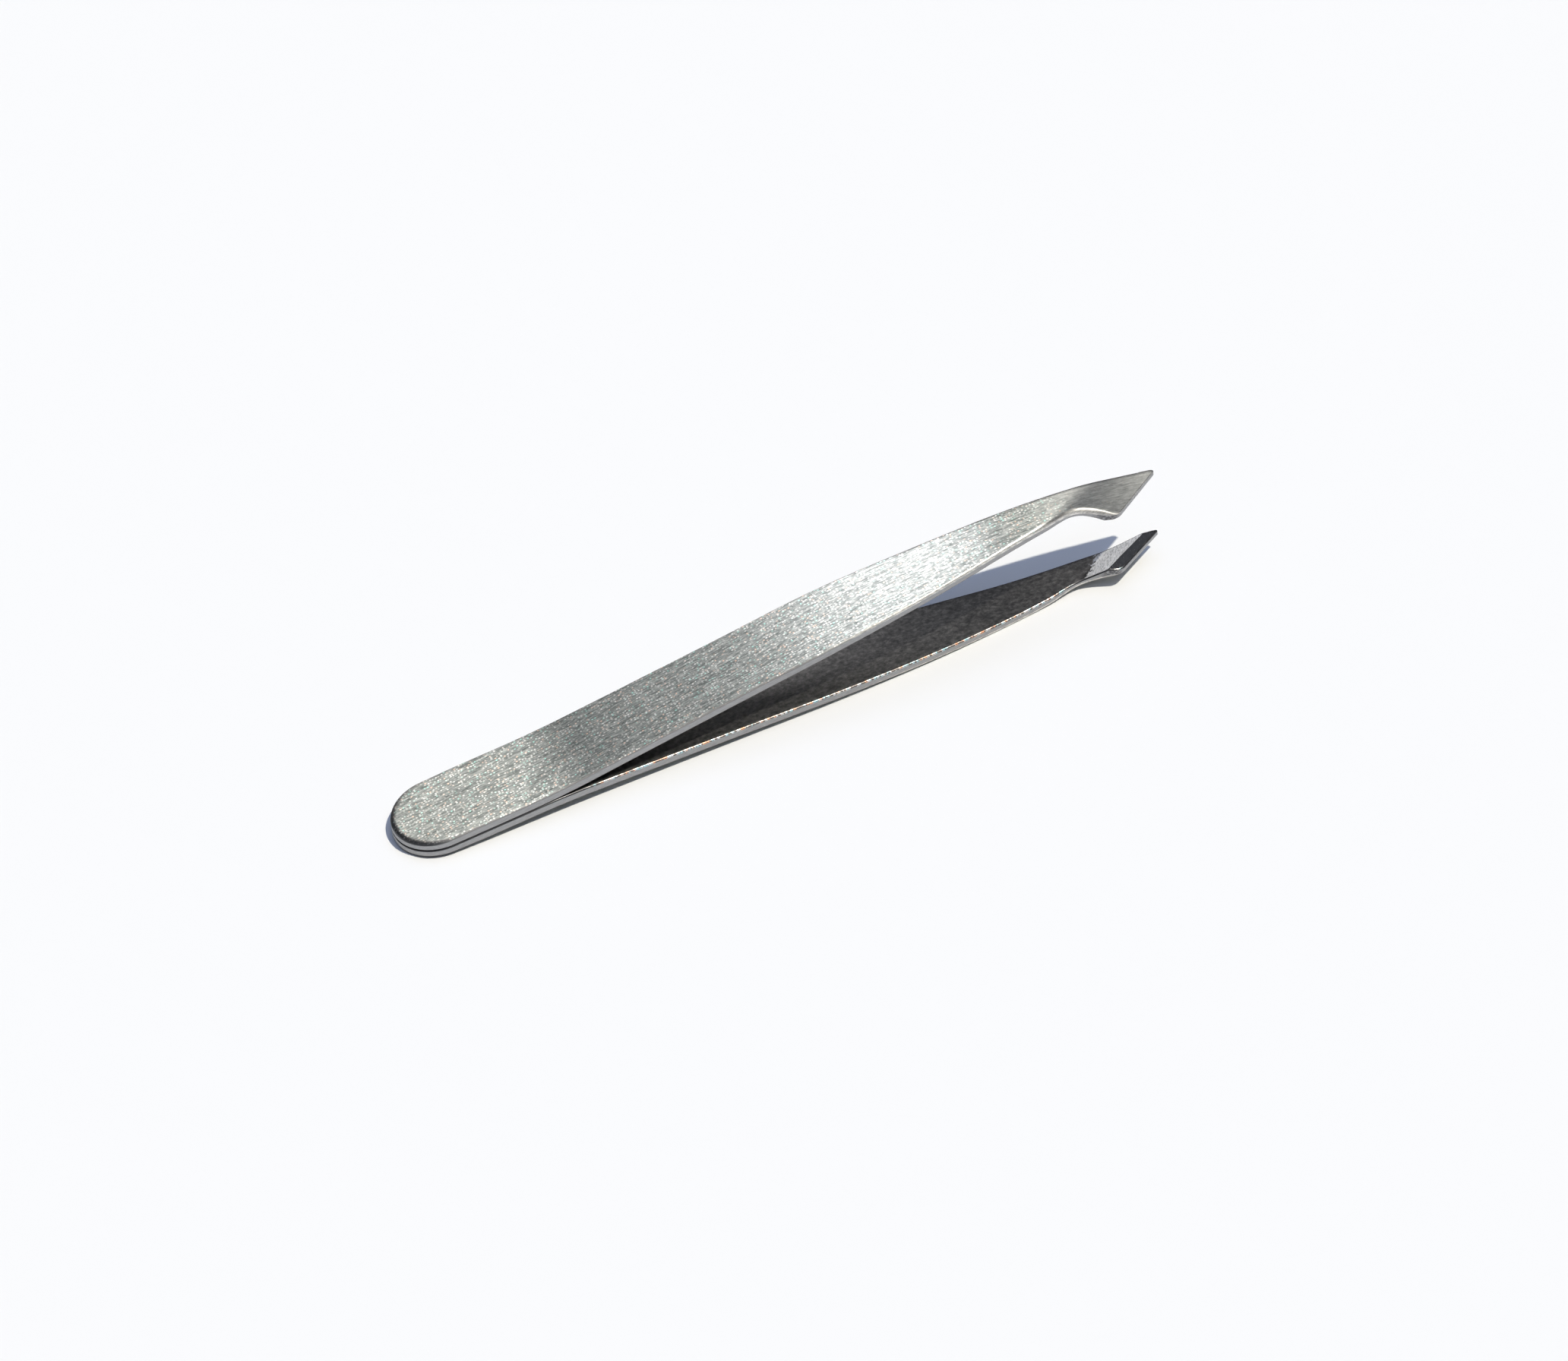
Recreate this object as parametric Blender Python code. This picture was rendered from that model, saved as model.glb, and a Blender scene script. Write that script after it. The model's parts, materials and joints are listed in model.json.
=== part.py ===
"""Slant tweezers: two sprung steel arms, spot-welded at the tail, with slanted tips.

The arms are mirror images in the seam between them. They are drawn in the tweezers' own frame:
+X runs from the tail to the tips, +Y is across the arms towards the pointed edge of the tips,
and +Z is up out of the seam, through the upper arm. The whole is then laid on its lower arm.
Each arm is cut at its flexure, the line it bends about when squeezed, so that the front of the
arm can turn there. Sizes are in metres.
"""

import math

import bmesh
import bpy
import numpy as np
from mathutils import Matrix, Vector

# Strip
LENGTH = 0.0951
THICKNESS = 0.00125
SEAM = 0.0001

# Plan outline: the half width at stations along the strip, the same on both sides at first
NOSE_LENGTH = 0.0052
HALF_WIDTHS = ((0.0, 0.00440), (0.014, 0.00444), (0.028, 0.00428), (0.042, 0.00416),
               (0.054, 0.00408))
FAR_TIP_EDGE = ((0.066, 0.00312), (0.076, 0.00205), (0.084, 0.00115), (0.090, 0.00040),
                (LENGTH, -0.00025))
NEAR_TIP_EDGE = ((0.066, 0.00362), (0.075, 0.00287), (0.080, 0.00237), (0.084, 0.00194),
                 (0.0885, 0.00370))
CORNER_RADIUS = 0.0006
APEX_RADIUS = 0.0004

# Side view of the inner face: flat weld, bend out, straight, crown, back in towards the tip
WELD_END = 0.0145
BEND_END = 0.0225
SPREAD_SLOPE = 0.104
CROWN_START = 0.0725
CROWN_END = 0.0835
TIP_SLOPE = -0.02

# Tip: bent in about a line parallel to the slanted end, with a flat ground gripping land
TIP_BEND = 0.0042
LAND_WIDTH = 0.00125
LAND_THICKNESS = 0.00080
OUTER_BEND = 0.0055
BEND_POWER = 1.7

# Flexure and its travel: at the end of the travel the lands stop this far from the mid plane
FLEXURE = 0.025
FLEXURE_GAP = 0.0003
CLOSING_ANGLE = math.radians(4.15)
CLOSED_HALF_GAP = 0.00005

# Spot welds: nuggets fused into both arms, in pockets with a clearance all round
WELD_STATIONS = (0.0050, 0.0105)
NUGGET_RADIUS = 0.0015
NUGGET_HEIGHT = 0.0008
WELD_CLEARANCE = 0.0003

# Fineness
NOSE_COLUMNS = 10
NOSE_FIRST_ANGLE = math.radians(4)
COLUMN_STEP = 0.0025
COLUMN_LEAN_POWER = 3
TIP_COLUMNS = 9
ROWS = 6
NUGGET_SIDES = 24
SHARP_ANGLE = math.radians(30)
HALVINGS = 40

# Looks
STEEL_COLOUR = (0.55, 0.55, 0.55, 1.0)
STEEL_ROUGHNESS = 0.35
WELD_COLOUR = (0.32, 0.31, 0.30, 1.0)
WELD_ROUGHNESS = 0.6


def smooth_curve(points):
    """A curve through the points, with each point's slope taken from its two neighbours."""
    x = np.array([point[0] for point in points])
    y = np.array([point[1] for point in points])
    slope = np.gradient(y, x)

    def value(at):
        i = int(np.clip(np.searchsorted(x, at) - 1, 0, len(x) - 2))
        step = x[i + 1] - x[i]
        t = (at - x[i]) / step
        start = (1 + 2 * t) * (1 - t) ** 2 * y[i] + t * (1 - t) ** 2 * step * slope[i]
        end = t * t * (3 - 2 * t) * y[i + 1] - t * t * (1 - t) * step * slope[i + 1]
        return float(start + end)

    return value


far_width = smooth_curve(HALF_WIDTHS + FAR_TIP_EDGE)
near_width = smooth_curve(HALF_WIDTHS + NEAR_TIP_EDGE)


def nose(station):
    """The share of the full width at a station of the rounded tail."""
    back = 1 - min(station / NOSE_LENGTH, 1)
    return math.sqrt(1 - back * back)


def far_point(station):
    return Vector((station, far_width(station) * nose(station)))


def near_point(station):
    return Vector((station, -near_width(station) * nose(station)))


APEX = far_point(FAR_TIP_EDGE[-1][0])
CORNER = near_point(NEAR_TIP_EDGE[-1][0])
SLANT = (APEX - CORNER).normalized()
SLANT_OUTWARD = Vector((SLANT.y, -SLANT.x))


def slant_distance(point):
    """The distance of a point of the plan behind the slanted end."""
    return (CORNER - point).dot(SLANT_OUTWARD)


def edge_point_behind_slant(edge, end_station, distance):
    """The point of an edge at a distance behind the slanted end, found by halving."""
    low, high = CROWN_START, end_station
    for _ in range(HALVINGS):
        middle = (low + high) / 2
        if slant_distance(edge(middle)) > distance:
            low = middle
        else:
            high = middle
    return edge(high)


def corner_cut(distance, radius):
    """How far a rounded corner takes the slanted end in, at a distance behind it."""
    if distance >= radius:
        return 0.0
    return radius - math.sqrt(radius ** 2 - (radius - distance) ** 2)


def tip_column(distance):
    """The near and far ends of the line across the tip at a distance behind its slanted end."""
    near = edge_point_behind_slant(near_point, NEAR_TIP_EDGE[-1][0], distance)
    far = edge_point_behind_slant(far_point, FAR_TIP_EDGE[-1][0], distance)
    near = near + SLANT * corner_cut(distance, CORNER_RADIUS)
    far = far - SLANT * corner_cut(distance, APEX_RADIUS)
    return near, far


def bend_rise(station, start, end, slope_before, slope_after):
    """The rise since start of a line whose slope changes evenly from start to end."""
    bent = min(max(station - start, 0), end - start)
    beyond = max(station - end, 0)
    turn = (slope_after - slope_before) / (end - start)
    return slope_before * bent + turn * bent ** 2 / 2 + slope_after * beyond


def strip_height(station):
    """The inner face's height over the seam, as the strip is bent before its tip is formed."""
    spread = bend_rise(station, WELD_END, BEND_END, 0, SPREAD_SLOPE)
    crown = bend_rise(station, CROWN_START, CROWN_END, 0, TIP_SLOPE - SPREAD_SLOPE)
    return spread + crown


FLEXURE_HEIGHT = SEAM / 2 + strip_height(FLEXURE) + THICKNESS / 2


def land_height(station):
    """The land's plane, which lies flat beside the mid plane once the arm has turned in."""
    reach = station - FLEXURE
    drop = (FLEXURE_HEIGHT - CLOSED_HALF_GAP) / math.cos(CLOSING_ANGLE)
    return FLEXURE_HEIGHT - drop + reach * math.tan(CLOSING_ANGLE)


def ease_out(share):
    """0 to 1 as the share goes from 0 to 1, fast at first and level at the end."""
    return 1 - (1 - min(max(share, 0), 1)) ** BEND_POWER


def inner_height(point):
    behind = slant_distance(point)
    strip = SEAM / 2 + strip_height(point.x)
    land = land_height(point.x)
    return land + (strip - land) * ease_out((behind - LAND_WIDTH) / (TIP_BEND - LAND_WIDTH))


def outer_height(point):
    behind = slant_distance(point)
    strip = SEAM / 2 + strip_height(point.x) + THICKNESS
    land = land_height(point.x) + LAND_THICKNESS
    return land + (strip - land) * ease_out(behind / OUTER_BEND)


def tail_columns():
    """Lines across the strip from the rounded tail to the flexure."""
    angles = np.linspace(NOSE_FIRST_ANGLE, math.pi / 2, NOSE_COLUMNS, endpoint=False)
    stations = [NOSE_LENGTH * (1 - math.cos(angle)) for angle in angles]
    count = math.ceil((FLEXURE - NOSE_LENGTH) / COLUMN_STEP)
    stations += list(np.linspace(NOSE_LENGTH, FLEXURE - FLEXURE_GAP / 2, count + 1))
    return [(near_point(station), far_point(station)) for station in stations]


def blade_columns():
    """Lines across the strip from the flexure to the tip, leaning over to suit the slant."""
    distances = [TIP_BEND * (1 - i / TIP_COLUMNS) for i in range(TIP_COLUMNS + 1)]
    distances += [LAND_WIDTH, CORNER_RADIUS / 2]
    tip = [tip_column(distance) for distance in sorted(distances, reverse=True)]
    first_near, first_far = tip[0]
    start = FLEXURE + FLEXURE_GAP / 2
    count = math.ceil((first_near.x - start) / COLUMN_STEP)
    columns = []
    for share in np.linspace(0, 1, count, endpoint=False):
        station = start + (first_near.x - start) * share
        lean = (first_far.x - first_near.x) * share ** COLUMN_LEAN_POWER
        columns.append((near_point(station), far_point(station + lean)))
    return columns + tip


def arm_mesh(name, columns, side, origin):
    """A closed strip lofted over the columns; side is 1 for the upper arm, -1 for the lower."""
    mesh = bmesh.new()
    layers = []
    for height in (inner_height, outer_height):
        grid = []
        for near, far in columns:
            points = [near.lerp(far, row / ROWS) for row in range(ROWS + 1)]
            corners = [Vector((point.x, point.y, side * height(point))) for point in points]
            grid.append([mesh.verts.new(corner - origin) for corner in corners])
        layers.append(grid)
    inner, outer = layers
    for i in range(len(columns) - 1):
        for j in range(ROWS):
            mesh.faces.new((outer[i][j], outer[i + 1][j], outer[i + 1][j + 1], outer[i][j + 1]))
            mesh.faces.new((inner[i][j], inner[i][j + 1], inner[i + 1][j + 1], inner[i + 1][j]))
        for j in (0, ROWS):
            mesh.faces.new((outer[i][j], inner[i][j], inner[i + 1][j], outer[i + 1][j]))
    for i in (0, -1):
        for j in range(ROWS):
            mesh.faces.new((outer[i][j], outer[i][j + 1], inner[i][j + 1], inner[i][j]))
    bmesh.ops.recalc_face_normals(mesh, faces=mesh.faces)
    data = bpy.data.meshes.new(name)
    mesh.to_mesh(data)
    mesh.free()
    data.shade_smooth()
    data.set_sharp_from_angle(angle=SHARP_ANGLE)
    return data


def cylinder_mesh(name, radius, height):
    mesh = bmesh.new()
    bmesh.ops.create_cone(mesh, cap_ends=True, segments=NUGGET_SIDES, radius1=radius,
                          radius2=radius, depth=height)
    data = bpy.data.meshes.new(name)
    mesh.to_mesh(data)
    mesh.free()
    return data


def steel(name, colour, roughness):
    material = bpy.data.materials.new(name)
    material.use_nodes = True
    shader = material.node_tree.nodes["Principled BSDF"]
    shader.inputs["Base Color"].default_value = colour
    shader.inputs["Metallic"].default_value = 1.0
    shader.inputs["Roughness"].default_value = roughness
    return material


def new_collection(name):
    collection = bpy.data.collections.new(name)
    bpy.context.scene.collection.children.link(collection)
    return collection


def place(name, data, collection, parent, location, material=None):
    item = bpy.data.objects.new(name, data)
    collection.objects.link(item)
    item.parent = parent
    item.location = location
    if material:
        data.materials.append(material)
    return item


def build_arm(prefix, side, collection, frame, material):
    """One arm: its tail, and its blade with the origin on the flexure."""
    tail_data = arm_mesh(prefix + "_arm_tail", tail_columns(), side, Vector())
    tail = place(prefix + "_arm_tail", tail_data, collection, frame, (0, 0, 0), material)
    flexure = Vector((FLEXURE, 0, side * FLEXURE_HEIGHT))
    blade_data = arm_mesh(prefix + "_arm_blade", blade_columns(), side, flexure)
    place(prefix + "_arm_blade", blade_data, collection, frame, flexure, material)
    return tail


def build_welds(tails, collection, cutters, frame, material):
    """The two weld nuggets, and the pockets that both tails have for them."""
    for label, station in zip(("rear", "front"), WELD_STATIONS):
        centre = (station, 0, 0)
        nugget = cylinder_mesh("weld_nugget_" + label, NUGGET_RADIUS, NUGGET_HEIGHT)
        place("weld_nugget_" + label, nugget, collection, frame, centre, material)
        pocket = cylinder_mesh("weld_pocket_" + label, NUGGET_RADIUS + WELD_CLEARANCE,
                               NUGGET_HEIGHT + 2 * WELD_CLEARANCE)
        cutter = place("weld_pocket_" + label, pocket, cutters, frame, centre)
        cutter.hide_render = True
        cutter.display_type = "WIRE"
        for tail in tails:
            cut = tail.modifiers.new("pocket " + label, "BOOLEAN")
            cut.operation = "DIFFERENCE"
            cut.solver = "EXACT"
            cut.object = cutter


def lay_on_lower_arm(frame, collection):
    """Tilt the frame until the tail and the lower arm's crown touch the ground, and centre it."""
    slopes = [strip_height(near.x) / near.x for near, far in blade_columns()]
    frame.rotation_euler = (0, -math.atan(max(slopes)), 0)
    turn = Matrix.Rotation(frame.rotation_euler.y, 4, "Y")
    corners = []
    for item in collection.objects:
        corners += [turn @ (item.location + vertex.co) for vertex in item.data.vertices]
    corners = np.array(corners)
    low, high = corners.min(axis=0), corners.max(axis=0)
    frame.location = (-(low[0] + high[0]) / 2, -(low[1] + high[1]) / 2, -low[2])


def build():
    for item in list(bpy.data.objects):
        bpy.data.objects.remove(item, do_unlink=True)
    parts = new_collection("slant_tweezers")
    cutters = new_collection("cutters")
    frame = bpy.data.objects.new("tweezers_frame", None)
    bpy.context.scene.collection.objects.link(frame)
    brushed = steel("brushed_steel", STEEL_COLOUR, STEEL_ROUGHNESS)
    weld = steel("weld_metal", WELD_COLOUR, WELD_ROUGHNESS)
    tails = [build_arm("upper", 1, parts, frame, brushed),
             build_arm("lower", -1, parts, frame, brushed)]
    lay_on_lower_arm(frame, parts)
    build_welds(tails, parts, cutters, frame, weld)


build()
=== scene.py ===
"""Looks of the slant tweezers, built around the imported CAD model.

Each arm is one continuous strip of brushed steel, lofted finely over the same outline and side
view as its two CAD nodes, with rolled edges, a ground facet and a gripping land. It bends
between the tail and its blade's body, as the real strip does. Sizes are in metres, and
"strip coordinates" are the tweezers' own: x along them, y across, height out of the seam.
"""

import json
import math

import bpy
import numpy as np
from mathutils import Matrix, Vector


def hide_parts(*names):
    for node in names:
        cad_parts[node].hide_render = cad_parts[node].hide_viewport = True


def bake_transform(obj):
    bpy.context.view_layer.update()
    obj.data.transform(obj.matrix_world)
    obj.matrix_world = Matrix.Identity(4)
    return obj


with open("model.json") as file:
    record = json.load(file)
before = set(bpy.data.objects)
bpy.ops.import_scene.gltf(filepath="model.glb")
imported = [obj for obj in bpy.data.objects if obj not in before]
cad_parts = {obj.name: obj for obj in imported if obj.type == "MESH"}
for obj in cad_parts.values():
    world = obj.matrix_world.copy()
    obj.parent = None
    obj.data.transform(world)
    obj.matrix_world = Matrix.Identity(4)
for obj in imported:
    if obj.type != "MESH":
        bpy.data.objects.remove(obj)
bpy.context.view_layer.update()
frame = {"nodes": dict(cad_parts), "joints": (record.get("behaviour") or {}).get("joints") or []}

# ---------------------------------------------------------------- driving dimensions

# The strip, as in the CAD model
LENGTH = 0.0951
THICKNESS = 0.00125
SEAM = 0.0001
NOSE_LENGTH = 0.0052
HALF_WIDTHS = ((0.0, 0.00440), (0.014, 0.00443), (0.028, 0.00428), (0.042, 0.00416),
               (0.054, 0.00408))
FAR_TIP_EDGE = ((0.066, 0.00312), (0.076, 0.00205), (0.084, 0.00115), (0.090, 0.00040),
                (LENGTH, -0.00025))
NEAR_TIP_EDGE = ((0.066, 0.00362), (0.075, 0.00287), (0.080, 0.00237), (0.084, 0.00194),
                 (0.0885, 0.00370))
CORNER_RADIUS = 0.0006
APEX_RADIUS = 0.0006
WELD_END = 0.0145
BEND_END = 0.0225
SPREAD_SLOPE = 0.104
CROWN_START = 0.0725
CROWN_END = 0.0835
TIP_SLOPE = -0.02
FLEXURE = 0.025
CLOSING_ANGLE = math.radians(4.15)
CLOSED_HALF_GAP = 0.00005

# The tip, from its slanted end back: the flat land, the facet as far as TIP_BEND, and the outer
# face's turn as far as OUTER_BEND. Both ease back into the strip, by BEND_POWER. The facet's
# ragged edge is drawn on faces that reach on to FACET_ZONE.
LAND_WIDTH = 0.00125
LAND_THICKNESS = 0.00080
TIP_BEND = 0.0042
OUTER_BEND = 0.0055
BEND_POWER = 1.7
FACET_ZONE = TIP_BEND + 0.0004

# Taken off the outer face, so that its finer curve stays inside the faceted CAD model's box
OUTER_INSET = 0.00002

# Rolled outer edges: station, how far the roll reaches in over the face, and down the edge
NEAR_ROLL = ((0.0, 0.00064, 0.00040), (0.003, 0.00056, 0.00036), (0.009, 0.00020, 0.00016),
             (0.045, 0.00018, 0.00018), (0.060, 0.00024, 0.00034), (0.078, 0.00028, 0.00046),
             (0.0825, 0.00040, 0.00056), (0.0852, 0.00044, 0.00054), (0.0868, 0.00042, 0.00048),
             (0.0886, 0.00008, 0.00010))
FAR_ROLL = ((0.0, 0.00064, 0.00040), (0.003, 0.00046, 0.00030), (0.009, 0.00014, 0.00014),
            (0.055, 0.00016, 0.00016), (0.070, 0.00024, 0.00024), (0.090, 0.00022, 0.00022),
            (LENGTH, 0.00008, 0.00010))
SLANT_ROLL = (0.00008, 0.00010)
INNER_ROLL = 0.00017

# Where the looks change, as stations, from and to: the nose's painted shade fades, the rolled
# edges turn from painted shade to a painted highlight, the far edge's painted shade sets in,
# painted shade darkens the inner face's front, the sparkle fades, and the burrs lie
NOSE_RIM_FADE = (0.0030, 0.0075)
ROLL_SHADE_TO_HIGHLIGHT = (0.048, 0.060)
FAR_RIM = (0.050, 0.064)
DARK_FRONT = (0.068, 0.080)
SPARKLE_FADE = (0.0790, 0.0850)
BURRS = (0.0858, 0.0870)

# Where it changes: from and to, across from the far edge or behind the slanted end
# The far edge's band of painted shade, from the edge inwards
FAR_RIM_WIDTH = (0.0001, 0.0004)
NEAR_SIDE = (0.0015, 0.0020)
SMOOTH_TIP = (TIP_BEND - 0.0004, TIP_BEND - 0.0028)
BURR_FREE_SLANT = (0.0001, 0.0003)
FACET_EDGE = (TIP_BEND - 0.0002, TIP_BEND)
FACET_RAGGEDNESS = (-0.0006, 0.0003)
FACET_LEAN = 0.3

# The brushing's direction, and the dots of painted glints: core and rim, faintest and strongest
GRAIN = math.radians(2.5)
DOT_RADII = (0.16, 0.44)
DOT_STRENGTHS = (0.25, 0.85)

# Fineness
NOSE_STEPS = 28
NOSE_FIRST_ANGLE = math.radians(4)
COLUMN_STEP = 0.0006
COLUMN_LEAN_POWER = 3
FACET_STEPS = 10
LAND_STEPS = 5
CORNER_STEPS = 9
CREASE_WIDTH = 0.00004
ROWS = 18
OUTER_ROLL_STEPS = 6
INNER_ROLL_STEPS = 3
HALVINGS = 40


# ---------------------------------------------------------------- the strip's outline

def smooth_curve(points):
    """A curve through the points, with each point's slope taken from its two neighbours."""
    x = np.array([point[0] for point in points])
    y = np.array([point[1] for point in points])
    slope = np.gradient(y, x)

    def value(at):
        i = int(np.clip(np.searchsorted(x, at) - 1, 0, len(x) - 2))
        step = x[i + 1] - x[i]
        t = (at - x[i]) / step
        start = (1 + 2 * t) * (1 - t) ** 2 * y[i] + t * (1 - t) ** 2 * step * slope[i]
        end = t * t * (3 - 2 * t) * y[i + 1] - t * t * (1 - t) * step * slope[i + 1]
        return float(start + end)

    return value


far_width = smooth_curve(HALF_WIDTHS + FAR_TIP_EDGE)
near_width = smooth_curve(HALF_WIDTHS + NEAR_TIP_EDGE)


def nose(station):
    """The share of the full width at a station of the rounded tail."""
    back = 1 - min(station / NOSE_LENGTH, 1)
    return math.sqrt(1 - back * back)


def far_point(station):
    return Vector((station, far_width(station) * nose(station)))


def near_point(station):
    return Vector((station, -near_width(station) * nose(station)))


APEX = far_point(FAR_TIP_EDGE[-1][0])
CORNER = near_point(NEAR_TIP_EDGE[-1][0])
SLANT = (APEX - CORNER).normalized()
SLANT_OUTWARD = Vector((SLANT.y, -SLANT.x))


def slant_distance(point):
    """The distance of a point of the plan behind the slanted end."""
    return (CORNER - point).dot(SLANT_OUTWARD)


def edge_point_behind_slant(edge, end_station, distance):
    """The point of an edge at a distance behind the slanted end, found by halving."""
    low, high = CROWN_START, end_station
    for _ in range(HALVINGS):
        middle = (low + high) / 2
        if slant_distance(edge(middle)) > distance:
            low = middle
        else:
            high = middle
    return edge(high)


def corner_cut(distance, radius):
    """How far a rounded corner takes the slanted end in, at a distance behind it."""
    if distance >= radius:
        return 0.0
    return radius - math.sqrt(radius ** 2 - (radius - distance) ** 2)


def tip_column(distance):
    """The near and far ends of the line across the tip at a distance behind its slanted end."""
    near = edge_point_behind_slant(near_point, NEAR_TIP_EDGE[-1][0], distance)
    far = edge_point_behind_slant(far_point, FAR_TIP_EDGE[-1][0], distance)
    near = near + SLANT * corner_cut(distance, CORNER_RADIUS)
    far = far - SLANT * corner_cut(distance, APEX_RADIUS)
    return near, far


# ---------------------------------------------------------------- the side view

def bend_rise(station, start, end, slope_before, slope_after):
    """The rise since start of a line whose slope changes evenly from start to end."""
    bent = min(max(station - start, 0), end - start)
    beyond = max(station - end, 0)
    turn = (slope_after - slope_before) / (end - start)
    return slope_before * bent + turn * bent ** 2 / 2 + slope_after * beyond


def strip_height(station):
    """The inner face's height over the seam, as the strip is bent before its tip is formed."""
    spread = bend_rise(station, WELD_END, BEND_END, 0, SPREAD_SLOPE)
    crown = bend_rise(station, CROWN_START, CROWN_END, 0, TIP_SLOPE - SPREAD_SLOPE)
    return spread + crown


FLEXURE_HEIGHT = SEAM / 2 + strip_height(FLEXURE) + THICKNESS / 2


def land_height(station):
    """The land's plane, which lies flat beside the mid plane once the arm has turned in."""
    reach = station - FLEXURE
    drop = (FLEXURE_HEIGHT - CLOSED_HALF_GAP) / math.cos(CLOSING_ANGLE)
    return FLEXURE_HEIGHT - drop + reach * math.tan(CLOSING_ANGLE)


def ease_out(share):
    """0 to 1 as the share goes from 0 to 1, fast at first and level at the end."""
    return 1 - (1 - min(max(share, 0), 1)) ** BEND_POWER


def inner_height(point):
    behind = slant_distance(point)
    strip = SEAM / 2 + strip_height(point.x)
    land = land_height(point.x)
    return land + (strip - land) * ease_out((behind - LAND_WIDTH) / (TIP_BEND - LAND_WIDTH))


def outer_height(point):
    behind = slant_distance(point)
    strip = SEAM / 2 + strip_height(point.x) + THICKNESS - OUTER_INSET
    land = land_height(point.x) + LAND_THICKNESS - OUTER_INSET
    return land + (strip - land) * ease_out(behind / OUTER_BEND)


# ---------------------------------------------------------------- where the arms lie

def tweezers_matrix():
    """Strip coordinates to the row frame, from the two flexures' places."""
    places = {joint["name"]: Vector(joint["pos_m"]) for joint in frame["joints"]}
    upper, lower = places["upper_flex"], places["lower_flex"]
    up = (upper - lower).normalized()
    across = Vector((0, 1, 0))
    along = across.cross(up)
    turn = Matrix((along, across, up)).transposed()
    origin = (upper + lower) / 2 - along * FLEXURE
    return Matrix.Translation(origin) @ turn.to_4x4()


TWEEZERS = tweezers_matrix()


# ---------------------------------------------------------------- the arm's mesh

ZONES = ["outer", "edge", "lip", "inner", "facet", "land"]


def strip_columns():
    """Lines across the strip, from the tail's round end to the slanted end."""
    angles = np.linspace(NOSE_FIRST_ANGLE, math.pi / 2, NOSE_STEPS, endpoint=False)
    stations = [NOSE_LENGTH * (1 - math.cos(angle)) for angle in angles]
    columns = [(near_point(station), far_point(station)) for station in stations]

    facet = list(np.linspace(TIP_BEND, LAND_WIDTH, FACET_STEPS + 1))
    facet += [FACET_ZONE, TIP_BEND + CREASE_WIDTH, TIP_BEND - CREASE_WIDTH]
    facet += [LAND_WIDTH + CREASE_WIDTH, LAND_WIDTH - CREASE_WIDTH]
    land = list(np.linspace(LAND_WIDTH, CORNER_RADIUS, LAND_STEPS + 1)[1:])
    corner_angles = np.linspace(0, math.pi / 2, CORNER_STEPS + 1)[:-1]
    corner = [CORNER_RADIUS * (1 - math.cos(angle)) for angle in corner_angles]
    distances = sorted(set(facet + land + corner), reverse=True)
    tip = [tip_column(distance) for distance in distances]

    first_near, first_far = tip[0]
    count = math.ceil((first_near.x - NOSE_LENGTH) / COLUMN_STEP)
    for share in np.linspace(0, 1, count, endpoint=False):
        station = NOSE_LENGTH + (first_near.x - NOSE_LENGTH) * share
        lean = (first_far.x - first_near.x) * share ** COLUMN_LEAN_POWER
        columns.append((near_point(station), far_point(station + lean)))
    return columns + tip


def loop_of(grid):
    """The grid's border as one closed loop: near side, slanted end, far side, tail end."""
    near = [row[0] for row in grid]
    slant = list(grid[-1][1:-1])
    far = [row[-1] for row in reversed(grid)]
    tail = list(reversed(grid[0][1:-1]))
    return near + slant + far + tail


def inward_normals(points):
    """At each point of a closed loop that runs anticlockwise, the direction into it."""
    points = np.array(points)
    tangents = np.roll(points, -1, axis=0) - np.roll(points, 1, axis=0)
    tangents /= np.linalg.norm(tangents, axis=1)[:, None]
    return np.stack([-tangents[:, 1], tangents[:, 0]], axis=1)


def outer_roll(point):
    """The reach in and down of the rolled outer edge at a point of the outline."""
    if slant_distance(Vector(point)) < CREASE_WIDTH:
        return SLANT_ROLL
    table = NEAR_ROLL if point[1] < 0 else FAR_ROLL
    stations, inward, down = zip(*table)
    return np.interp(point[0], stations, inward), np.interp(point[0], stations, down)


def roll_rings(steps):
    """How far in and how far down each ring of a rolled edge lies, as shares of its reach."""
    angles = np.linspace(0, math.pi / 2, steps + 1)
    return [(1 - math.cos(angle), 1 - math.sin(angle)) for angle in angles]


def inner_zone(behind):
    """Which part of the inner face lies at a distance behind the slanted end."""
    if behind < LAND_WIDTH:
        return "land"
    return "facet" if behind < FACET_ZONE else "inner"


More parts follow.
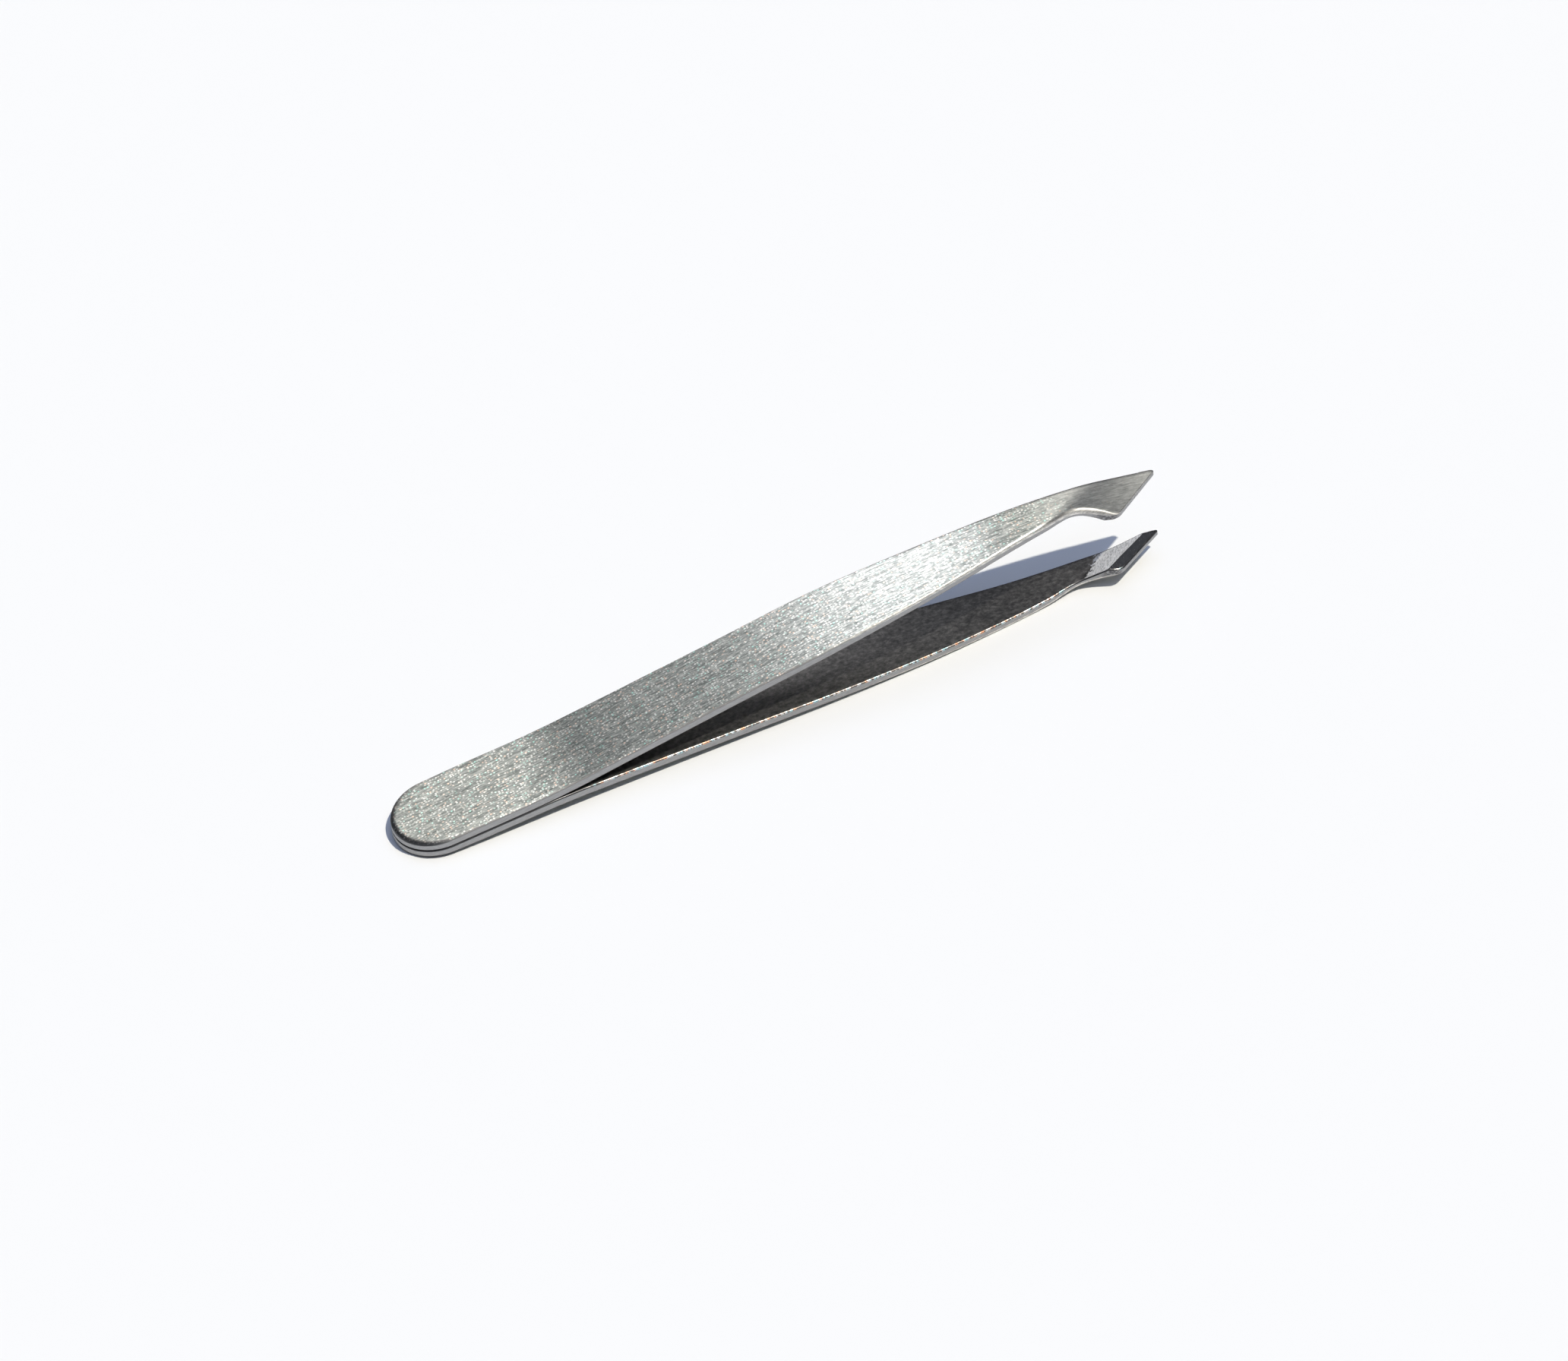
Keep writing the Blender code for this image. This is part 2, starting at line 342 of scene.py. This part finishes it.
def arm_mesh(name, side):
    """One arm's mesh: rolled rings round its edges, and a grid over each face.

    Its points are (x, y, height) for both arms, and side is 1 for the upper arm, -1 for the
    lower, which is the mirror image in the seam.
    """
    columns = strip_columns()
    plan = [[tuple(near.lerp(far, row / ROWS)) for row in range(ROWS + 1)]
            for near, far in columns]
    outline = np.array(loop_of(plan))
    inward = inward_normals(outline)
    count = len(outline)
    points, faces, zones = [], [], []

    def add_ring(inset, drop, height, direction):
        """One loop of points, inset from the outline and dropped from a face."""
        start = len(points)
        for place, normal, in_by, down_by in zip(outline, inward, inset, drop):
            spot = Vector(place + normal * in_by)
            points.append((spot.x, spot.y, height(spot) - direction * down_by))
        return list(range(start, start + count))

    def add_face(corners, zone):
        faces.append(corners)
        zones.append(zone)

    def join_rings(first, second, zone):
        for i in range(count):
            j = (i + 1) % count
            add_face((first[i], first[j], second[j], second[i]), zone)

    def fill(ring, inset, height, zone_of, flip):
        """The grid inside a ring, whose border points are the ring's own."""
        border = outline + inward * np.array(inset)[:, None]
        length = len(columns)
        grid = [[None] * (ROWS + 1) for _ in range(length)]
        slots = loop_of([[(i, j) for j in range(ROWS + 1)] for i in range(length)])
        places = {}
        for (i, j), index, place in zip(slots, ring, border):
            grid[i][j] = index
            places[i, j] = place
        for i in range(1, length - 1):
            near, far = Vector(places[i, 0]), Vector(places[i, ROWS])
            for j in range(1, ROWS):
                spot = near.lerp(far, j / ROWS)
                grid[i][j] = len(points)
                points.append((spot.x, spot.y, height(spot)))
        for i in range(length - 1):
            zone = zone_of(slant_distance((columns[i][0] + columns[i + 1][1]) / 2))
            for j in range(ROWS):
                corners = (grid[i][j], grid[i + 1][j], grid[i + 1][j + 1], grid[i][j + 1])
                add_face(corners[::-1] if flip else corners, zone)

    outer_reach, outer_depth = np.array([outer_roll(tuple(place)) for place in outline]).T
    inner_radius = np.full(count, INNER_ROLL)
    outer_rings = [add_ring(outer_reach * inset, outer_depth * drop, outer_height, 1)
                   for inset, drop in roll_rings(OUTER_ROLL_STEPS)]
    inner_rings = [add_ring(inner_radius * inset, inner_radius * drop, inner_height, -1)
                   for inset, drop in roll_rings(INNER_ROLL_STEPS)]
    join_rings(inner_rings[0], outer_rings[0], "edge")
    for first, second in zip(outer_rings, outer_rings[1:]):
        join_rings(first, second, "outer")
    for first, second in zip(inner_rings, inner_rings[1:]):
        join_rings(second, first, "lip")
    fill(outer_rings[-1], outer_reach, outer_height, lambda behind: "outer", False)
    fill(inner_rings[-1], inner_radius, inner_height, inner_zone, True)

    rolled = np.zeros(len(points))
    for share, ring in zip(np.linspace(1, 0, len(outer_rings)), outer_rings):
        rolled[ring] = share
    return mesh_data(name, side, np.array(points), faces, zones, rolled)


def mesh_data(name, side, strip, faces, zones, rolled):
    """A mesh in the row frame, with what the materials read: strip coordinates and rolls."""
    if side < 0:
        faces = [corners[::-1] for corners in faces]
    data = bpy.data.meshes.new(name)
    world = [TWEEZERS @ Vector(point) for point in strip * (1, 1, side)]
    data.from_pydata(world, [], faces)
    data.update()
    data.shade_smooth()
    data.polygons.foreach_set("material_index", [ZONES.index(zone) for zone in zones])

    coordinates = data.attributes.new("strip", "FLOAT_VECTOR", "POINT")
    from_far = np.array([far_width(x) for x in strip[:, 0]]) - strip[:, 1]
    values = np.stack([strip[:, 0], from_far, strip[:, 2]], axis=1)
    coordinates.data.foreach_set("vector", values.astype(np.float32).ravel())
    behind = np.array([slant_distance(Vector(point[:2])) for point in strip])
    for label, values in (("rolled", rolled), ("behind", behind)):
        attribute = data.attributes.new(label, "FLOAT", "POINT")
        attribute.data.foreach_set("value", values.astype(np.float32))

    grain = data.uv_layers.new(name="grain")
    corners = np.zeros(len(data.loops), np.int32)
    data.loops.foreach_get("vertex_index", corners)
    flat = np.stack([strip[:, 1] + strip[:, 2], strip[:, 0]], axis=1)[corners] / LENGTH
    grain.data.foreach_set("uv", flat.astype(np.float32).ravel())
    return data


# ---------------------------------------------------------------- materials

# The colour sockets of Blender's Mix node
MIX_SHARE, MIX_FIRST, MIX_SECOND, MIX_RESULT = 0, 6, 7, 2
MILLIMETRES = 1000


def grey(value):
    return (value, value, value)


class Nodes:
    """Short calls for making one material's nodes."""

    def __init__(self, name):
        self.material = bpy.data.materials.new(name)
        self.material.use_nodes = True
        self.tree = self.material.node_tree
        self.shader = self.tree.nodes["Principled BSDF"]

    def add(self, kind, inputs=None, **settings):
        node = self.tree.nodes.new(kind)
        for key, value in settings.items():
            setattr(node, key, value)
        for key, value in (inputs or {}).items():
            if isinstance(value, bpy.types.NodeSocket):
                self.tree.links.new(value, node.inputs[key])
            else:
                node.inputs[key].default_value = value
        return node

    def value(self, name):
        return self.add("ShaderNodeAttribute", attribute_name=name).outputs["Fac"]

    def station(self):
        """The distance along the strip, in metres."""
        strip = self.add("ShaderNodeAttribute", attribute_name="strip").outputs["Vector"]
        return self.add("ShaderNodeSeparateXYZ", {"Vector": strip}).outputs["X"]

    def from_far(self):
        """The distance across the strip from its far edge, in metres."""
        strip = self.add("ShaderNodeAttribute", attribute_name="strip").outputs["Vector"]
        return self.add("ShaderNodeSeparateXYZ", {"Vector": strip}).outputs["Y"]

    def near_side(self):
        """0 along the strip's far edge, 1 from there to its near edge."""
        return self.range(self.from_far(), *NEAR_SIDE, 0.0, 1.0)

    def coordinates(self, stretch, turn=0.0):
        """Strip coordinates in millimetres, turned in the plan and divided by the stretch."""
        strip = self.add("ShaderNodeAttribute", attribute_name="strip")
        turned = self.add("ShaderNodeVectorRotate", {"Vector": strip.outputs["Vector"],
                                                     "Angle": turn}, rotation_type="Z_AXIS")
        scale = [MILLIMETRES / size for size in stretch]
        scaled = self.add("ShaderNodeVectorMath", {0: turned.outputs["Vector"], 1: scale},
                          operation="MULTIPLY")
        return scaled.outputs["Vector"]

    def noise(self, vector, detail, roughness=0.5):
        node = self.add("ShaderNodeTexNoise", {"Vector": vector, "Scale": 1.0,
                                               "Detail": detail, "Roughness": roughness})
        return node.outputs["Fac"]

    def dots(self, vector):
        """Scattered round dots, each of its own strength, and each dot's own random value."""
        node = self.add("ShaderNodeTexVoronoi", {"Vector": vector, "Scale": 1.0},
                        voronoi_dimensions="2D")
        split = self.add("ShaderNodeSeparateColor", {"Color": node.outputs["Color"]})
        near = self.range(node.outputs["Distance"], *DOT_RADII, 1.0, 0.0)
        strength = self.range(split.outputs["Red"], *DOT_STRENGTHS, 0.0, 1.0)
        return self.multiply(near, strength), split.outputs["Green"]

    def ramp(self, value, stops):
        """A colour ramp; each stop is a place and a grey or a colour."""
        node = self.add("ShaderNodeValToRGB", {"Fac": value})
        ramp = node.color_ramp
        while len(ramp.elements) < len(stops):
            ramp.elements.new(0.5)
        for element, (place, colour) in zip(ramp.elements, stops):
            element.position = place
            element.color = (*(grey(colour) if isinstance(colour, float) else colour), 1)
        return node.outputs["Color"]

    def range(self, value, low, high, to_low, to_high):
        """The value's range from low to high stretched to another one, and held at its ends."""
        node = self.add("ShaderNodeMapRange", {"Value": value, "From Min": low,
                                               "From Max": high, "To Min": to_low,
                                               "To Max": to_high})
        return node.outputs["Result"]

    def blend(self, first, second, share, mode="MIX"):
        """Two colours mixed; either may be a plain colour instead of a socket."""
        colours = [(*colour, 1) if isinstance(colour, tuple) else colour
                   for colour in (first, second)]
        node = self.add("ShaderNodeMix", {MIX_SHARE: share, MIX_FIRST: colours[0],
                                          MIX_SECOND: colours[1]},
                        data_type="RGBA", blend_type=mode)
        return node.outputs[MIX_RESULT]

    def tint(self, colour, shade):
        return self.blend(colour, shade, 1.0, "MULTIPLY")

    def maths(self, operation, first, second):
        node = self.add("ShaderNodeMath", {0: first, 1: second}, operation=operation)
        return node.outputs[0]

    def multiply(self, first, second):
        return self.maths("MULTIPLY", first, second)

    def finish(self, colour, roughness, bump=None, strength=0.2, distance=0.00002,
               anisotropic=0.0, metallic=1.0):
        """Join the made sockets to the shader; what is even all over is set on the shader."""
        links = self.tree.links
        links.new(colour, self.shader.inputs["Base Color"])
        links.new(roughness, self.shader.inputs["Roughness"])
        if isinstance(metallic, float):
            self.shader.inputs["Metallic"].default_value = metallic
        else:
            links.new(metallic, self.shader.inputs["Metallic"])
        if anisotropic:
            tangent = self.add("ShaderNodeTangent", direction_type="UV_MAP", uv_map="grain")
            links.new(tangent.outputs["Tangent"], self.shader.inputs["Tangent"])
            self.shader.inputs["Anisotropic"].default_value = anisotropic
        if bump is not None:
            node = self.add("ShaderNodeBump", {"Height": bump, "Strength": strength,
                                               "Distance": distance})
            links.new(node.outputs["Normal"], self.shader.inputs["Normal"])
        return self.material


def brushed_outside():
    """The outer face: fine scratches with painted glints, shade and highlights, fading to a
    smooth tip.
    """
    nodes = Nodes("brushed_steel_outside")
    station, rolled, behind = nodes.station(), nodes.value("rolled"), nodes.value("behind")

    streaks = nodes.noise(nodes.coordinates((0.9, 0.14, 0.5), GRAIN), 3, 0.65)
    lines = nodes.noise(nodes.coordinates((6.0, 0.17, 1.0), GRAIN), 2, 0.55)
    tone = nodes.ramp(streaks, ((0.32, (0.19, 0.218, 0.22)), (0.50, (0.36, 0.388, 0.39)),
                                (0.68, (0.65, 0.675, 0.68))))
    shade = nodes.ramp(lines, ((0.34, 0.62), (0.50, 0.88), (0.64, 1.0)))
    brushed = nodes.tint(tone, shade)
    # Painted shade: the face is darkened along the tail, standing in for its dimmer reflection
    # there.
    tail_painted_shade = nodes.ramp(nodes.maths("DIVIDE", station, LENGTH),
                         ((0.0, 0.92), (0.12, 0.80), (0.19, 0.88), (0.23, 1.0)))
    brushed = nodes.tint(brushed, tail_painted_shade)
    # Painted glints: pastel dots in the base colour stand in for the face's sparkle under the
    # key light.
    dots, hue = nodes.dots(nodes.coordinates((0.36, 0.27, 1.0), GRAIN))
    painted_glint = nodes.multiply(dots, nodes.range(lines, 0.36, 0.58, 0.45, 1.0))
    pastel = nodes.ramp(hue, ((0.05, (0.52, 0.92, 0.86)), (0.25, (0.92, 0.98, 0.97)),
                              (0.72, (0.98, 0.97, 0.98)), (0.95, (1.0, 0.74, 0.60))))

    on_tip = nodes.range(behind, *SMOOTH_TIP, 0.0, 1.0)
    crown = nodes.ramp(streaks, ((0.30, (0.29, 0.296, 0.30)), (0.70, (0.56, 0.57, 0.58))))
    tip = nodes.ramp(streaks, ((0.30, (0.31, 0.32, 0.325)), (0.70, (0.57, 0.58, 0.585))))
    sparkly = nodes.range(station, *SPARKLE_FADE, 1.0, 0.10)
    colour = nodes.blend(nodes.blend(crown, tip, on_tip), brushed, sparkly)
    smooth = nodes.range(on_tip, 0.0, 1.0, 0.34, 0.50)
    roughness = nodes.blend(smooth, grey(0.34), sparkly)

    # Painted highlight: the rolled edges get a bright tone toward the front, where they catch
    # the key light.
    roll_painted_highlight = nodes.multiply(nodes.range(rolled, 0.0, 0.4, 0.0, 0.75),
                              nodes.range(station, *ROLL_SHADE_TO_HIGHLIGHT, 0.0, 1.0))
    bright = nodes.ramp(streaks, ((0.40, (0.56, 0.545, 0.53)), (0.60, (0.90, 0.87, 0.82))))
    colour = nodes.blend(colour, bright, roll_painted_highlight)
    # Painted shade: the rolled edges get a dark grey tone toward the tail, holding back the key
    # light's highlight there.
    satin = nodes.multiply(nodes.range(rolled, 0.0, 0.25, 0.0, 1.0),
                           nodes.range(station, *ROLL_SHADE_TO_HIGHLIGHT, 1.0, 0.0))
    colour = nodes.blend(colour, (0.22, 0.22, 0.23), satin)
    roughness = nodes.blend(roughness, grey(0.60), satin)
    # Painted shade: the nose's roll and a thin band along the far edge's front are darkened,
    # standing in for the dark surroundings they mirror.
    nose_painted_shade = nodes.multiply(nodes.range(rolled, 0.05, 0.9, 0.0, 1.0),
                              nodes.range(station, *NOSE_RIM_FADE, 1.0, 0.0))
    far_edge_painted_shade = nodes.multiply(nodes.range(nodes.from_far(), *FAR_RIM_WIDTH, 0.9, 0.0),
                             nodes.range(station, *FAR_RIM, 0.0, 1.0))
    painted_rim_shade = nodes.multiply(nodes.maths("MAXIMUM", nose_painted_shade, far_edge_painted_shade), 0.85)
    colour = nodes.blend(colour, (0.14, 0.145, 0.155), painted_rim_shade)
    on_face = nodes.multiply(nodes.range(rolled, 0.2, 0.7, 1.0, 0.0), sparkly)
    colour = nodes.blend(colour, pastel, nodes.multiply(painted_glint, on_face))
    bump = nodes.blend(grey(0.5), streaks, sparkly)
    return nodes.finish(colour, roughness, bump, 0.35, 0.00004, anisotropic=0.85)


def satin_edge():
    """The sheared side edges: satin grey, with fine marks along them, burred at the corner."""
    nodes = Nodes("satin_steel_edge")
    marks = nodes.noise(nodes.coordinates((0.8, 0.2, 0.10)), 3, 0.6)
    satin = nodes.ramp(marks, ((0.30, (0.28, 0.283, 0.292)), (0.70, (0.44, 0.443, 0.452))))
    burrs = nodes.noise(nodes.coordinates((0.35, 0.35, 0.25)), 2, 0.6)
    burred = nodes.multiply(nodes.range(burrs, 0.42, 0.54, 0.0, 1.0),
                            nodes.range(nodes.station(), *BURRS, 0.0, 0.85))
    beyond = nodes.range(nodes.value("behind"), *BURR_FREE_SLANT, 0.0, 1.0)
    burred = nodes.multiply(nodes.multiply(burred, beyond), nodes.near_side())
    colour = nodes.blend(satin, (0.08, 0.08, 0.085), burred)
    roughness = nodes.range(marks, 0.3, 0.7, 0.42, 0.55)
    return nodes.finish(colour, roughness, marks, 0.15, 0.00002, metallic=0.8)


def plain_lip():
    """The upper arm's small roll round its inner face, in its own shade: dark satin."""
    nodes = Nodes("deburred_steel_lip_plain")
    marks = nodes.noise(nodes.coordinates((0.8, 0.3, 0.3)), 2, 0.5)
    colour = nodes.ramp(marks, ((0.30, (0.10, 0.10, 0.105)), (0.70, (0.18, 0.178, 0.176))))
    return nodes.finish(colour, nodes.range(marks, 0.3, 0.7, 0.38, 0.46), marks, 0.2)


def painted_glint_lip():
    """The lower arm's small roll: dark in the seam and at the tip, with painted glints between
    and at the corner.
    """
    nodes = Nodes("steel_lip_painted_glints")
    beads = nodes.noise(nodes.coordinates((0.34, 0.6, 0.6)), 1, 0.5)
    hues = nodes.noise(nodes.coordinates((0.6, 1.0, 1.0)), 0.0)
    pastel = nodes.ramp(hues, ((0.36, (0.60, 0.93, 1.0)), (0.44, (1.0, 1.0, 1.0)),
                               (0.57, (1.0, 0.96, 0.90)), (0.64, (1.0, 0.50, 0.30))))
    bright = nodes.blend((0.26, 0.23, 0.22), pastel, nodes.range(beads, 0.45, 0.53, 0.0, 1.0))
    # Painted glints: the roll is made bright where the arms' gap is open and at one spot by the
    # tip's corner, where it catches the key light.
    share = nodes.maths("DIVIDE", nodes.station(), LENGTH)
    painted_glint_stretch = nodes.ramp(share, ((0.225, 0.0), (0.265, 1.0), (0.845, 0.9), (0.875, 0.0),
                                  (0.923, 0.0), (0.927, 1.0), (0.931, 0.0)))
    painted_glint_share = nodes.multiply(painted_glint_stretch, nodes.near_side())
    colour = nodes.blend((0.10, 0.10, 0.105), bright, painted_glint_share)
    roughness = nodes.range(beads, 0.4, 0.6, 0.42, 0.28)
    return nodes.finish(colour, roughness, beads, 0.4)


def rolled_colour(nodes):
    """The dark mottled tone of the sheet as it was rolled, darkened toward the tip by painted
    shade, and the noise behind it.
    """
    mottle = nodes.noise(nodes.coordinates((0.6, 0.36, 1.0)), 5, 0.75)
    colour = nodes.ramp(mottle, ((0.36, (0.14, 0.138, 0.137)), (0.52, (0.22, 0.217, 0.214)),
                                 (0.66, (0.32, 0.314, 0.31))))
    # Painted shade: the inner face darkens toward the tip, where it would mirror more of the
    # sky.
    front_painted_shade = nodes.range(nodes.station(), *DARK_FRONT, 1.0, 0.72)
    return nodes.tint(colour, front_painted_shade), mottle


def rolled_inside():
    """The inner face as the sheet was rolled: dark and mottled, with painted shade toward the
    tip.
    """
    nodes = Nodes("rolled_steel_inside")
    colour, mottle = rolled_colour(nodes)
    return nodes.finish(colour, nodes.range(mottle, 0.35, 0.65, 0.28, 0.38), mottle, 0.3)


def ground_facet():
    """The facet ground into the inside of the tip: pale, with a ragged rear boundary."""
    nodes = Nodes("ground_steel_facet")
    marks = nodes.noise(nodes.coordinates((0.40, 0.16, 0.5), math.radians(60)), 4, 0.65)
    ground = nodes.ramp(marks, ((0.34, (0.44, 0.44, 0.44)), (0.52, (0.76, 0.76, 0.76)),
                                (0.68, (1.0, 1.0, 1.0))))
    ragged = nodes.noise(nodes.coordinates((0.7, 0.5, 1.0)), 3, 0.7)
    lean = nodes.multiply(nodes.from_far(), FACET_LEAN)
    askew = nodes.maths("ADD", nodes.value("behind"), lean)
    line = nodes.maths("ADD", askew, nodes.range(ragged, 0.3, 0.7, *FACET_RAGGEDNESS))
    unground = nodes.range(line, *FACET_EDGE, 0.0, 1.0)
    rolled, _ = rolled_colour(nodes)
    colour = nodes.blend(ground, rolled, unground)
    roughness = nodes.blend(nodes.range(marks, 0.3, 0.7, 0.50, 0.38), grey(0.33), unground)
    metallic = nodes.range(unground, 0.0, 1.0, 0.4, 1.0)
    return nodes.finish(colour, roughness, marks, 0.4, metallic=metallic)


def lapped_land():
    """The gripping land: smooth and dark, with faint marks."""
    nodes = Nodes("lapped_steel_land")
    marks = nodes.noise(nodes.coordinates((0.6, 0.15, 0.5), math.radians(60)), 3, 0.6)
    colour = nodes.ramp(marks, ((0.30, (0.225, 0.225, 0.23)), (0.70, (0.305, 0.305, 0.31))))
    return nodes.finish(colour, nodes.range(marks, 0.3, 0.7, 0.22, 0.28), marks, 0.05)


def weld_metal():
    """The nuggets' dull fused steel, heat tinted in patches."""
    nodes = Nodes("weld_steel")
    patches = nodes.noise(nodes.coordinates((0.8, 0.8, 0.8)), 3, 0.6)
    colour = nodes.ramp(patches, ((0.3, (0.24, 0.22, 0.22)), (0.7, (0.40, 0.36, 0.30))))
    return nodes.finish(colour, nodes.range(patches, 0.3, 0.7, 0.5, 0.7), patches, 0.4)


# ---------------------------------------------------------------- pieces

def build_arm(prefix, side, materials):
    """One arm, bending over the rear of its free length from the tail's body to the blade's."""
    data = arm_mesh(prefix + "_arm", side)
    arm = bpy.data.objects.new(prefix + "_arm", data)
    bpy.context.scene.collection.objects.link(arm)
    for material in materials:
        data.materials.append(material)
    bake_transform(arm)
    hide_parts(prefix + "_arm_tail", prefix + "_arm_blade")


# ---------------------------------------------------------------- floor, lights and camera

CAMERA_ELEVATION = math.radians(51.6)
CAMERA_AZIMUTH = math.radians(26.4)
CAMERA_DISTANCE = 1.21
CAMERA_LENS = 249.7
CAMERA_SENSOR = 36
CAMERA_SHIFT = Vector((0.00056, -0.00210, 0))
CAMERA_TARGET_HEIGHT = 0.005
FLOOR_REACH = 3.0
FLOOR_COLOUR = (0.905, 0.90, 0.875)

# The sun, the sky's fill, and two narrow cards behind the tweezers that the brushed face mirrors
KEY_DIRECTION = (0.164, -0.26, 1.0)
KEY_COLOUR = (1.0, 0.955, 0.85)
FILL_COLOUR = (0.47, 0.60, 0.97)
CARD_COLOUR = (1.0, 0.965, 0.945)
CARD_DISTANCE = 0.15
CARD_LENGTH = 0.05
CARD_BACK, CARD_UP = 0.553, 0.833

# The surroundings' colours, at shares of the way from level to overhead
SURROUNDINGS = ((0.0, (0.03, 0.03, 0.037)), (0.6, (0.078, 0.085, 0.096)),
                (1.0, (0.19, 0.205, 0.24)))


def to_view(vector):
    """A vector given as right of, away from and above the camera's view, in the row frame."""
    return Matrix.Rotation(-CAMERA_AZIMUTH, 3, "Z") @ Vector(vector)


def add_camera():
    camera = bpy.data.objects.new("camera", bpy.data.cameras.new("camera"))
    bpy.context.scene.collection.objects.link(camera)
    camera.data.sensor_width = CAMERA_SENSOR
    camera.data.lens = CAMERA_LENS
    camera.data.clip_start = 0.05
    camera.data.clip_end = 20
    target = to_view(CAMERA_SHIFT) + Vector((0, 0, CAMERA_TARGET_HEIGHT))
    back = to_view((0, -math.cos(CAMERA_ELEVATION), math.sin(CAMERA_ELEVATION)))
    camera.location = target + back * CAMERA_DISTANCE
    camera.rotation_mode = "QUATERNION"
    camera.rotation_quaternion = (-back).to_track_quat("-Z", "Y")
    bpy.context.scene.camera = camera


def add_floor():
    data = bpy.data.meshes.new("floor")
    corners = [(x * FLOOR_REACH, y * FLOOR_REACH, 0)
               for x, y in ((-1, -1), (1, -1), (1, 1), (-1, 1))]
    data.from_pydata(corners, [], [(0, 1, 2, 3)])
    floor = bpy.data.objects.new("floor", data)
    bpy.context.scene.collection.objects.link(floor)
    nodes = Nodes("pale_floor")
    nodes.shader.inputs["Base Color"].default_value = (*FLOOR_COLOUR, 1)
    nodes.shader.inputs["Roughness"].default_value = 0.9
    nodes.shader.inputs["Specular IOR Level"].default_value = 0.1
    data.materials.append(nodes.material)


def add_light(name, kind, towards, energy, distance=1.0, **settings):
    """A light that shines on the tweezers from a direction given in the row frame."""
    data = bpy.data.lights.new(name, kind)
    data.energy = energy
    for key, value in settings.items():
        setattr(data, key, value)
    light = bpy.data.objects.new(name, data)
    bpy.context.scene.collection.objects.link(light)
    direction = Vector(towards).normalized()
    light.location = direction * distance
    light.rotation_mode = "QUATERNION"
    light.rotation_quaternion = direction.to_track_quat("Z", "Y")
    return light


def add_lights():
    add_light("key", "SUN", KEY_DIRECTION, 2.65, angle=math.radians(1.2), color=KEY_COLOUR)
    fill = add_light("fill", "SUN", (0, 0, 1), 1.0, angle=math.radians(60), color=FILL_COLOUR)
    fill.visible_glossy = False
    for name, along, width, energy in (("front_card", 0.104, 0.018, 0.027),
                                       ("tail_card", -0.115, 0.008, 0.0018)):
        card = add_light(name, "AREA", (along, CARD_BACK, CARD_UP), energy, CARD_DISTANCE,
                         shape="RECTANGLE", size=width, size_y=CARD_LENGTH, color=CARD_COLOUR)
        card.visible_camera = False
        card.visible_diffuse = False


def add_world():
    """Dim surroundings that the steel mirrors, brighter overhead."""
    world = bpy.data.worlds.new("studio")
    world.use_nodes = True
    bpy.context.scene.world = world
    tree = world.node_tree
    background = tree.nodes["Background"]
    place = tree.nodes.new("ShaderNodeTexCoord")
    split = tree.nodes.new("ShaderNodeSeparateXYZ")
    ramp = tree.nodes.new("ShaderNodeValToRGB")
    ramp.color_ramp.elements.new(0.5)
    for element, (height, colour) in zip(ramp.color_ramp.elements, SURROUNDINGS):
        element.position = height
        element.color = (*colour, 1)
    tree.links.new(place.outputs["Generated"], split.inputs["Vector"])
    tree.links.new(split.outputs["Z"], ramp.inputs["Fac"])
    tree.links.new(ramp.outputs["Color"], background.inputs["Color"])
    background.inputs["Strength"].default_value = 1.0


# ---------------------------------------------------------------- the scene

outside, edge, inside = brushed_outside(), satin_edge(), rolled_inside()
facet, land = ground_facet(), lapped_land()
build_arm("upper", 1, [outside, edge, plain_lip(), inside, facet, land])
build_arm("lower", -1, [outside, edge, painted_glint_lip(), inside, facet, land])
weld = weld_metal()
for node in ("weld_nugget_rear", "weld_nugget_front"):
    frame["nodes"][node].material_slots[0].material = weld

add_floor()
add_lights()
add_world()
add_camera()
bpy.context.scene.view_settings.view_transform = "Standard"
